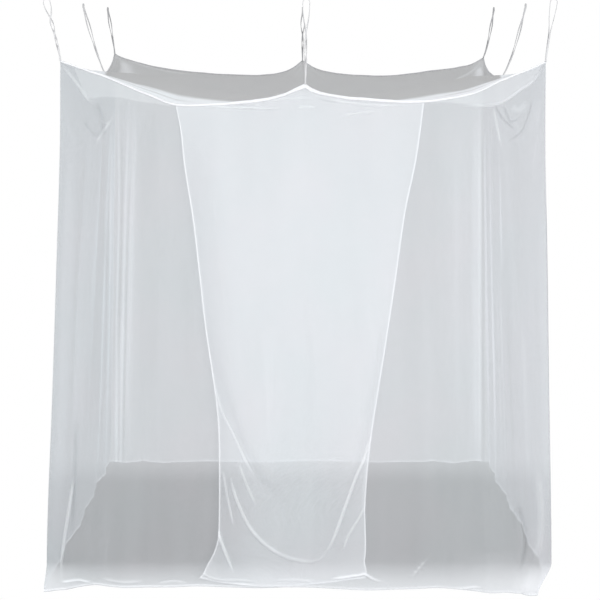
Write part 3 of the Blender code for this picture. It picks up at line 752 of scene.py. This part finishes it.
# ---- left side wall ------------------------------------------------------------------
# The same mesh, sewn to the front and back walls at its ends. It hangs from three loops, so
# it falls in uneven curtain folds that are closer together towards the back.
SIDE_CUT = (1.86, WALL_DROP)
LEFT_FOLDS = (            # rows as in BACK_FOLDS
    (0.07, 0.04, 0.006, 0.08, 0.0), (0.17, 0.05, -0.008, 0.1, 0.01),
    (0.3, 0.06, 0.008, 0.12, -0.02), (0.42, 0.05, -0.008, 0.05, 0.01),
    (0.55, 0.055, 0.009, 0.05, 0.02), (0.68, 0.05, -0.009, 0.1, -0.01),
    (0.79, 0.04, 0.01, 0.08, 0.01), (0.87, 0.034, -0.01, 0.06, 0.01),
    (0.94, 0.028, 0.008, 0.05, 0.0))
LEFT_KICK = ((0.0, 0.0), (0.20, 0.008), (0.50, 0.000), (0.75, 0.012), (1.0, 0.0))
LEFT_CREASES = (
    # rows of (y, height), half width, height of the ridge, layers of cloth more
    (((0.88, 1.98), (0.885, 1.3), (0.9, 0.6), (0.91, 0.06)), 0.016, -0.005, 0.5),
    (((0.82, 1.96), (0.815, 1.3), (0.83, 0.6), (0.85, 0.06)), 0.014, 0.005, -0.4),
    (((0.747, 1.9), (0.74, 1.3), (0.75, 0.6), (0.744, 0.08)), 0.014, -0.005, 0.3),
    (((0.64, 1.94), (0.64, 1.3), (0.7, 0.55), (0.56, 0.13), (0.54, -0.2)), 0.022, 0.005, -0.5),
    (((0.5, 1.2), (0.505, 0.7), (0.51, 0.3), (0.52, 0.08)), 0.024, -0.005, -0.45),
    (((0.42, 1.9), (0.5, 1.4), (0.64, 0.9), (0.7, 0.3)), 0.022, -0.004, -0.45),
    (((0.62, 1.9), (0.68, 1.3), (0.77, 0.7)), 0.022, 0.004, 0.5),
    (((0.18, 1.8), (0.28, 1.3), (0.4, 0.8), (0.46, 0.3)), 0.026, -0.004, -0.45),
    (((0.1, 1.98), (0.18, 1.5), (0.22, 0.9), (0.25, 0.27)), 0.1, 0.008, -0.35),
    (((0.04, 1.98), (-0.04, 1.6), (-0.08, 1.1), (-0.07, 0.6)), 0.024, -0.005, 0.2),
    (((-0.22, 1.9), (-0.24, 1.3), (-0.26, 0.2)), 0.08, 0.008, 0.25),
    (((-0.4, 1.9), (-0.42, 1.2), (-0.44, 0.4)), 0.06, -0.006, -0.35),
    (((-0.64, 1.9), (-0.65, 1.3), (-0.66, 0.1)), 0.07, 0.006, 0.35),
    (((-0.82, 1.9), (-0.6, 1.76), (-0.38, 1.74), (-0.14, 1.88)), 0.018, 0.01, 0.1),
)
side_columns = spaced((1.86, 0.0065))
side_rows = spaced((0.20, 0.010), (1.80, 0.017), (2.05, 0.008))
# The left netting is darkened by painted shade where it is a single layer, and painted lighter
# where creases gather it.
plain_wall("left_wall", "left", SIDE_CUT, side_columns, side_rows, LEFT_FOLDS, LEFT_KICK,
           LEFT_CREASES, True, netting("left netting", 0.34, 0.34, (0.77, 0.83, 0.84)),
           "net_left_wall")

# ---- right side wall -----------------------------------------------------------------
# As the left one. Under its front corner the cloth drapes in two soft swags before it falls
# straight.
RIGHT_FOLDS = (           # rows as in BACK_FOLDS
    (0.08, 0.04, -0.007, 0.08, 0.0), (0.18, 0.05, 0.008, 0.1, 0.02),
    (0.3, 0.06, -0.008, 0.12, -0.02), (0.43, 0.055, 0.009, 0.05, 0.01),
    (0.56, 0.055, -0.009, 0.05, 0.02), (0.69, 0.05, 0.009, 0.1, -0.01),
    (0.8, 0.04, -0.01, 0.08, 0.01), (0.88, 0.032, 0.01, 0.06, 0.01),
    (0.945, 0.026, -0.008, 0.05, 0.0))
RIGHT_KICK = ((0.0, 0.0), (0.20, 0.004), (0.45, 0.006), (0.70, 0.002), (1.0, 0.0))
RIGHT_CREASES = (
    # rows of (y, height), half width, height of the ridge, layers of cloth more
    (((0.88, 1.96), (0.89, 1.3), (0.905, 0.5), (0.915, 0.06)), 0.02, 0.006, -0.6),
    (((0.8, 1.94), (0.815, 1.2), (0.86, 0.5), (0.88, 0.06)), 0.02, -0.006, -0.6),
    (((0.64, 1.96), (0.68, 1.2), (0.72, 0.5), (0.76, 0.06)), 0.018, 0.005, 0.4),
    (((0.45, 1.9), (0.46, 1.5), (0.5, 1.1)), 0.022, -0.006, -0.5),
    (((0.6, 1.0), (0.62, 0.6), (0.63, 0.25), (0.64, -0.2)), 0.032, -0.004, -0.6),
    (((0.47, 1.05), (0.46, 0.7), (0.48, 0.1)), 0.02, 0.004, 0.5),
    (((0.3, 1.05), (0.32, 0.6), (0.33, 0.33), (0.34, -0.1)), 0.036, -0.005, -0.55),
    (((0.04, 1.1), (0.04, 0.7), (0.06, 0.1)), 0.028, -0.005, -0.4),
    (((-0.34, 1.0), (-0.35, 0.6), (-0.36, 0.2)), 0.06, 0.005, 0.5),
    (((0.24, 1.9), (0.25, 1.5), (0.27, 1.05)), 0.07, 0.008, 0.2),
    (((0.04, 1.97), (-0.06, 1.6), (-0.1, 1.1), (-0.08, 0.6)), 0.07, -0.008, 0.2),
    (((-0.3, 1.85), (-0.32, 1.4), (-0.3, 0.9)), 0.08, -0.008, -0.3),
    (((-0.8, 1.7), (-0.81, 1.1), (-0.8, 0.2)), 0.05, 0.006, 0.4),
    (((-0.8, 1.98), (-0.56, 1.78), (-0.36, 1.76), (-0.08, 1.92)), 0.02, 0.012, 0.2),
    (((-0.82, 1.9), (-0.64, 1.64), (-0.48, 1.6), (-0.24, 1.78)), 0.018, -0.01, -0.2),
)
# The right netting carries a faint painted shade where it is a single layer.
plain_wall("right_wall", "right", SIDE_CUT, side_columns, side_rows, RIGHT_FOLDS, RIGHT_KICK,
           RIGHT_CREASES, False, netting("right netting", 0.34, 0.34, (0.92, 0.92, 0.94)),
           "net_right_wall")

# ---- front left panel ----------------------------------------------------------------
# The inner half of the door: a width of the same mesh from the left corner seam to well past
# the middle, with a narrow hem down its free edge and along its foot.
DOOR_STEP_TOP = 0.0012    # a panel lies this far inside or outside the wall's line at its seam
DOOR_STEP = 0.008         # and this far from lower down
DOOR_STEP_DROP = 0.12     # from this share of the drop
DOOR_HEM = 0.0065
LIFT_START = 0.90         # share of the drop from which a panel's foot is lifted off the floor
SLACK_LINE = (
    # rows of (x, height): down to here the slack roof lies against the door from behind
    (-0.9, 2.13), (-0.854, 2.06), (-0.826, 1.985), (-0.796, 1.93), (-0.75, 1.931),
    (-0.682, 1.93), (-0.61, 1.916), (-0.545, 1.908), (-0.466, 1.903), (-0.38, 1.96),
    (0.42, 1.96), (0.502, 1.914), (0.563, 1.912), (0.612, 1.907), (0.696, 1.904),
    (0.749, 1.908), (0.794, 1.928), (0.842, 1.961), (0.887, 1.995), (0.938, 2.075))
SLACK_LAYERS = 0.4        # by so many layers the door looks denser there
SLACK_EDGE = 0.006        # and it thins out over this height
PANEL_CUT = (1.42, WALL_DROP)
FRONT_FOLDS = (           # rows as in BACK_FOLDS
    (0.035, 0.03, 0.012, 0.1, 0.01), (0.085, 0.045, -0.014, 0.06, 0.02),
    (0.15, 0.06, 0.01, 0.12, 0.01), (0.27, 0.07, -0.012, 0.15, 0.06),
    (0.4, 0.09, 0.012, 0.22, 0.04), (0.53, 0.08, -0.01, 0.3, 0.0),
    (0.66, 0.09, 0.012, 0.2, -0.05), (0.79, 0.06, -0.012, 0.12, -0.03),
    (0.88, 0.045, 0.012, 0.06, -0.01), (0.95, 0.035, -0.014, 0.08, 0.01))
FRONT_KICK = ((0.0, 0.0), (0.04, -0.008), (0.20, 0.010), (0.45, 0.004), (0.66, 0.012),
              (0.80, 0.010), (0.90, 0.045), (1.0, 0.0))
LEFT_PANEL_EDGE = (
    # rows of (share of the drop, x of the free edge)
    (0.0, 0.476), (0.11, 0.45), (0.22, 0.409), (0.37, 0.371), (0.5, 0.336), (0.69, 0.284),
    (0.82, 0.265), (0.95, 0.265), (1.0, 0.224))
LEFT_PANEL_LIFT = (
    # rows of (x, how far the foot is lifted)
    (-1.0, 0.0), (-0.05, 0.0), (0.1, 0.012), (0.22, 0.036), (0.3, 0.048))
LEFT_PANEL_CREASES = (
    # rows of (x, height), half width, height of the ridge, layers of cloth more
    (((-0.898, 2.062), (-0.854, 2.007), (-0.821, 1.961), (-0.796, 1.924), (-0.775, 1.912),
      (-0.755, 1.92)), 0.0035, 0.006, 0.6),
    (((-0.77, 1.918), (-0.75, 1.87), (-0.745, 1.82), (-0.738, 1.77)), 0.012, -0.004, -0.25),
    (((-0.752, 1.848), (-0.741, 1.838), (-0.73, 1.834), (-0.716, 1.843)), 0.0035, 0.004, 0.3),
    (((-0.712, 1.86), (-0.718, 1.838), (-0.737, 1.811), (-0.761, 1.776), (-0.772, 1.75)),
     0.004, 0.005, 0.4),
    (((-0.821, 1.85), (-0.782, 1.795), (-0.756, 1.79), (-0.735, 1.82)), 0.008, -0.004, -0.2),
    (((-0.88, 0.48), (-0.909, 0.3), (-0.931, 0.16), (-0.941, 0.073), (-0.934, 0.01)),
     0.004, 0.008, 0.7),
    (((-0.87, 0.7), (-0.885, 0.4), (-0.905, 0.15)), 0.01, -0.008, -0.3),
    (((-0.945, 0.03), (-0.92, 0.031), (-0.872, 0.028), (-0.84, 0.016), (-0.812, 0.006)),
     0.0035, 0.006, 1.6),
    (((-0.79, 0.03), (-0.7, 0.022), (-0.6, 0.026)), 0.005, 0.004, 0.5),
    (((-0.56, 0.018), (-0.5, 0.028), (-0.43, 0.016)), 0.004, -0.004, 0.6),
    (((-0.12, 1.1), (-0.11, 0.7), (-0.135, 0.3)), 0.022, 0.008, 0.1),
    (((0.04, 1.2), (0.045, 0.75), (0.03, 0.3)), 0.02, -0.008, -0.1),
    (((0.282, 0.596), (0.268, 0.48), (0.258, 0.38), (0.256, 0.25)), 0.005, 0.005, 0.5),
)


def door_panel(name, corner_share, way, edge_rows, lift_rows, columns, rows, creases, turned,
               material, node):
    """One door panel, from its corner seam to the hem down its free edge. way is 1 for the
    panel that hangs outside and -1 for the one inside."""
    cut = PANEL_CUT
    widths, reach, edge_doubled, edge_hem = hemmed(columns, cut[0], DOOR_HEM)
    lengths, places, foot_doubled, foot_hem = hemmed(rows, cut[1], FOOT_HEM)
    reach, drop = np.meshgrid(reach / cut[0], places / cut[1])
    ends = [wall("front", np.full_like(drop, end), drop, (), FRONT_KICK, ())[..., 0]
            for end in (0.0, 1.0)]
    edge = (through(edge_rows, drop) - ends[0]) / (ends[1] - ends[0])
    share = corner_share + (edge - corner_share) * reach
    step = DOOR_STEP_TOP + (DOOR_STEP - DOOR_STEP_TOP) * ease(drop / DOOR_STEP_DROP)
    step = way * step * ease(np.abs(share - corner_share) / FOLD_FREE)
    doubled = np.maximum(edge_doubled[None, :], foot_doubled[:, None])
    points = wall("front", share, drop, FRONT_FOLDS, FRONT_KICK, creases,
                  step - HEM_LIFT * doubled)
    lift = np.maximum(through(lift_rows, points[..., 0]), 0.0)
    points[..., 2] += lift * ease((drop - LIFT_START) / (1.0 - LIFT_START))
    hem = np.maximum(edge_hem[None, :], foot_hem[:, None])
    if turned:
        points, hem, widths = points[:, ::-1], hem[:, ::-1], widths[-1] - widths[::-1]
    count = layers("front", points, creases)
    against = points[..., 2] - through(SLACK_LINE, points[..., 0])
    count += SLACK_LAYERS * ease(against / SLACK_EDGE)
    piece = sheet(name, widths, lengths, points, hem, count, (0.0, -1.0, 0.0), False, material,
                  node)


door_panel("front_left_panel", 0.0, -1.0, LEFT_PANEL_EDGE, LEFT_PANEL_LIFT,
           spaced((0.30, 0.0036), (1.30, 0.010), (1.42, 0.005)),
           spaced((0.30, 0.0055), (1.40, 0.015), (1.95, 0.010), (2.05, 0.0035)),
           LEFT_PANEL_CREASES, False, netting("inner door netting", 0.28, 0.45),
           "net_front_left_panel")

# ---- front right panel ---------------------------------------------------------------
# The outer half of the door, from the right corner seam across the middle and over the inner
# panel. Its free edge is drawn aside at the foot, which throws long curved creases.
RIGHT_PANEL_EDGE = (
    (0.0, -0.47), (0.05, -0.452), (0.12, -0.439), (0.23, -0.408), (0.45, -0.364), (0.61, -0.322),
    (0.69, -0.313), (0.87, -0.315), (0.9, -0.321), (0.946, -0.349), (0.974, -0.38),
    (1.0, -0.417))
RIGHT_PANEL_LIFT = (
    (-0.43, 0.048), (-0.37, 0.034), (-0.28, 0.02), (-0.12, 0.01), (0.1, 0.0), (1.0, 0.0))
RIGHT_PANEL_CREASES = (
    # rows of (x, height), half width, height of the ridge, layers of cloth more
    (((-0.44, 2.0), (-0.4, 1.5), (-0.35, 1.0), (-0.31, 0.5), (-0.3, -0.2)), 0.085, 0.004, -0.5),
    (((-0.33, 0.85), (-0.3, 0.725), (-0.254, 0.627), (-0.204, 0.515), (-0.15, 0.42)),
     0.004, 0.006, 0.6),
    (((-0.275, 0.5), (-0.244, 0.373), (-0.182, 0.242), (-0.083, 0.147), (0.016, 0.11),
      (0.079, 0.114), (0.125, 0.16)), 0.004, 0.008, 1.0),
    (((-0.298, 0.5), (-0.275, 0.361), (-0.25, 0.235)), 0.0035, 0.006, 0.8),
    (((-0.237, 0.52), (-0.2, 0.422), (-0.16, 0.33)), 0.0035, 0.006, 0.7),
    (((-0.322, 0.26), (-0.314, 0.226), (-0.291, 0.156), (-0.263, 0.085), (-0.255, 0.06)),
     0.004, 0.008, 1.8),
    (((0.29, 0.64), (0.259, 0.528), (0.23, 0.46), (0.186, 0.336), (0.134, 0.187),
      (0.085, 0.105)), 0.004, 0.008, 0.9),
    (((0.27, 0.36), (0.24, 0.29), (0.2, 0.22), (0.17, 0.13)), 0.0035, 0.005, 0.6),
    (((0.33, 1.12), (0.3, 0.82), (0.25, 0.56), (0.19, 0.3)), 0.02, -0.01, -0.2),
    (((-0.36, 1.1), (-0.28, 0.76), (-0.17, 0.48), (-0.02, 0.3)), 0.022, -0.01, -0.2),
    (((-0.44, 1.908), (-0.356, 1.904), (-0.256, 1.894), (-0.18, 1.895), (-0.126, 1.89),
      (-0.04, 1.893)), 0.0028, 0.004, 0.7),
    (((-0.27, 1.892), (-0.15, 1.887), (-0.05, 1.886)), 0.0025, -0.004, -0.5),
    (((-0.26, 1.909), (-0.205, 1.902), (-0.15, 1.896)), 0.0025, -0.003, -0.4),
    (((-0.13, 1.918), (-0.035, 1.929), (0.06, 1.932)), 0.003, 0.003, 0.4),
    (((-0.01, 1.896), (0.03, 1.898), (0.075, 1.897)), 0.0028, 0.003, 0.5),
    (((0.07, 1.928), (0.11, 1.919), (0.16, 1.91)), 0.0028, -0.003, -0.4),
    (((0.1, 1.928), (0.2, 1.913), (0.29, 1.905), (0.42, 1.902)), 0.0028, 0.004, 0.6),
    (((0.15, 1.925), (0.26, 1.914), (0.4, 1.91)), 0.0025, -0.003, -0.4),
    (((0.16, 1.864), (0.23, 1.874), (0.31, 1.881)), 0.0028, 0.004, 0.4),
    (((0.934, 2.055), (0.887, 1.992), (0.842, 1.961), (0.794, 1.926), (0.749, 1.906),
      (0.696, 1.902), (0.6, 1.904)), 0.0035, 0.006, 0.6),
    (((0.742, 1.915), (0.749, 1.905), (0.769, 1.867), (0.796, 1.837), (0.832, 1.806)),
     0.004, 0.005, -0.45),
    (((0.893, 1.94), (0.878, 1.879), (0.868, 1.848), (0.846, 1.803), (0.79, 1.76)),
     0.004, 0.005, -0.4),
    (((0.778, 1.912), (0.795, 1.867), (0.807, 1.845), (0.825, 1.848), (0.852, 1.862)),
     0.004, 0.005, -0.4),
    (((0.81, 1.91), (0.83, 1.89), (0.85, 1.895), (0.87, 1.925)), 0.01, -0.005, 0.3),
    (((0.741, 1.9), (0.747, 1.87), (0.755, 1.829), (0.775, 1.74)), 0.0035, 0.004, 0.6),
    (((-0.42, 0.014), (-0.403, 0.032), (-0.344, 0.012), (-0.232, 0.02), (-0.15, 0.018)),
     0.0035, 0.006, 1.8),
    (((-0.1, 0.024), (-0.01, 0.03), (0.08, 0.022)), 0.004, 0.004, 0.7),
    (((0.12, 0.036), (0.188, 0.05), (0.24, 0.06), (0.264, 0.064), (0.3, 0.044), (0.35, 0.028)),
     0.004, 0.007, 1.4),
    (((0.51, 0.122), (0.495, 0.102), (0.455, 0.056), (0.445, 0.04)), 0.0035, 0.006, 0.5),
    (((0.63, 0.004), (0.648, 0.006), (0.696, 0.016), (0.73, 0.018)), 0.0035, 0.004, 1.0),
    (((0.94, 0.5), (0.96, 0.26), (0.94, 0.06)), 0.012, 0.008, 0.3),
    (((0.86, 0.36), (0.9, 0.18), (0.87, 0.04)), 0.012, -0.008, -0.3),
)
door_panel("front_right_panel", 1.0, 1.0, RIGHT_PANEL_EDGE, RIGHT_PANEL_LIFT,
           spaced((0.24, 0.0038), (0.62, 0.012), (1.42, 0.0042)),
           spaced((0.16, 0.0030), (0.28, 0.0055), (1.20, 0.015), (1.95, 0.0062), (2.05, 0.0036)),
           RIGHT_PANEL_CREASES, True, netting("outer door netting", 0.30, 0.30),
           "net_front_right_panel")

# ---- floor, backdrop and light -------------------------------------------------------
# A plain pale floor in a pale room, with two large soft lamps in front and one above. The room is
# white where it is seen directly and carries painted shade where it is seen through the mesh:
# pale grey behind the net, with a painted shadow on the floor under the net that is lighter again
# near the door.
SEEN_WHITE = 1.0
SHADE_THROUGH_MESH = 0.31       # painted shade: what the mesh shows of the room behind it
SHADOW_UNDER_NET = 0.15         # painted shadow: what it shows of the floor under the net
SHADOW_NEAR_DOOR = 0.62          # painted shadow, lighter: what it shows of the floor just behind the door
UNDER_REACH = 1.5         # the painted shadow on the floor ends this far from the net's middle
UNDER_EDGE = 2.5          # and pales towards there by this much for each metre
BACK_FROM = 0.60          # from here to the back it pales too
NEAR_FROM = -0.57         # and from here to the door it grows lighter
NEAR_RISE = 3.0           # by this much for each metre
ROOM_LIGHT = 0.90         # how bright the room is as a light
ROOM_WHITE = (1.0, 1.0, 1.0, 1.0)
ROOM_COOL = (0.965, 1.0, 1.035, 1.0)
LAMPS = (
    # name, place, aimed at, size, watts
    ("key", (-2.7, -4.1, 2.0), (0.0, -0.8, 1.0), 3.0, 97.0),
    ("fill", (2.8, -4.2, 1.8), (0.0, -0.8, 1.0), 3.0, 114.0),
    ("top", (0.0, 0.4, 5.2), (0.0, 0.0, 1.8), 4.0, 6.0),
)


def room(finish, seen_through):
    """How bright the room is where it is looked at, with painted shade where it is seen through
    the mesh, its colour, and whether it is.
    """
    through_mesh = finish.add("ShaderNodeLightPath", {}, {}, "Transparent Depth") > 0.5
    looked_at = finish.add("ShaderNodeLightPath", {}, {}, "Is Camera Ray")
    seen = SEEN_WHITE + through_mesh * (seen_through - SEEN_WHITE)
    return seen, finish.mixed(through_mesh, ROOM_WHITE, ROOM_COOL), looked_at


floor_paint = bpy.data.materials.new("pale floor")
finish = Finish(floor_paint)
place = finish.add("ShaderNodeTexCoord", {}, {}, "Object")
width = finish.add("ShaderNodeSeparateXYZ", {}, {0: place}, "X")
depth = finish.add("ShaderNodeSeparateXYZ", {}, {0: place}, "Y")
# painted shadow on the floor under the net, paling at its edges and to the back, lighter near the
# door
inside = ((UNDER_EDGE * (UNDER_REACH - width.size())).held()
          * (UNDER_EDGE * (UNDER_REACH - depth.size())).held())
painted_shadow_under_net = (1.0 - (UNDER_EDGE * (depth - BACK_FROM)).held()) * (SHADOW_UNDER_NET - SHADE_THROUGH_MESH)
painted_shadow_lift_near_door = (NEAR_RISE * (NEAR_FROM - depth)).held() * (SHADOW_NEAR_DOOR - SHADOW_UNDER_NET)
under = SHADE_THROUGH_MESH + inside * (painted_shadow_under_net + painted_shadow_lift_near_door)
seen, color, looked_at = room(finish, under)
paint = finish.add("ShaderNodeBsdfDiffuse", {}, {"Color": (0.45, 0.45, 0.45, 1.0)})
glow = finish.add("ShaderNodeEmission", {}, {"Color": color, "Strength": seen})
floor_look = finish.add("ShaderNodeMixShader", {}, {0: looked_at, 1: paint, 2: glow})
finish.add("ShaderNodeOutputMaterial", {}, {0: floor_look})

bm = bmesh.new()
bmesh.ops.create_grid(bm, x_segments=1, y_segments=1, size=40.0)
bmesh.ops.translate(bm, verts=bm.verts, vec=(0.0, 0.0, -0.001))
floor_mesh = bpy.data.meshes.new("floor")
bm.to_mesh(floor_mesh)
bm.free()
floor_mesh.materials.append(floor_paint)
floor = bpy.data.objects.new("floor", floor_mesh)
bpy.context.scene.collection.objects.link(floor)

for lamp_name, place, aim, size, watts in LAMPS:
    lamp = bpy.data.lights.new(lamp_name, "AREA")
    lamp.size = size
    lamp.energy = watts
    holder = bpy.data.objects.new(lamp_name, lamp)
    holder.location = place
    holder.visible_camera = False
    holder.rotation_euler = (Vector(aim) - Vector(place)).to_track_quat("-Z", "Y").to_euler()
    bpy.context.scene.collection.objects.link(holder)

world = bpy.data.worlds.new("room")
bpy.context.scene.world = world
finish = Finish(world)
# the room seen through the mesh is painted grey, a painted shade
seen, color, looked_at = room(finish, SHADE_THROUGH_MESH)
brightness = looked_at * seen + (1.0 - looked_at) * ROOM_LIGHT
sky = finish.add("ShaderNodeBackground", {}, {"Color": color, "Strength": brightness})
finish.add("ShaderNodeOutputWorld", {}, {0: sky})

bpy.context.scene.view_settings.view_transform = "Standard"
bpy.context.scene.cycles.transparent_max_bounces = 32
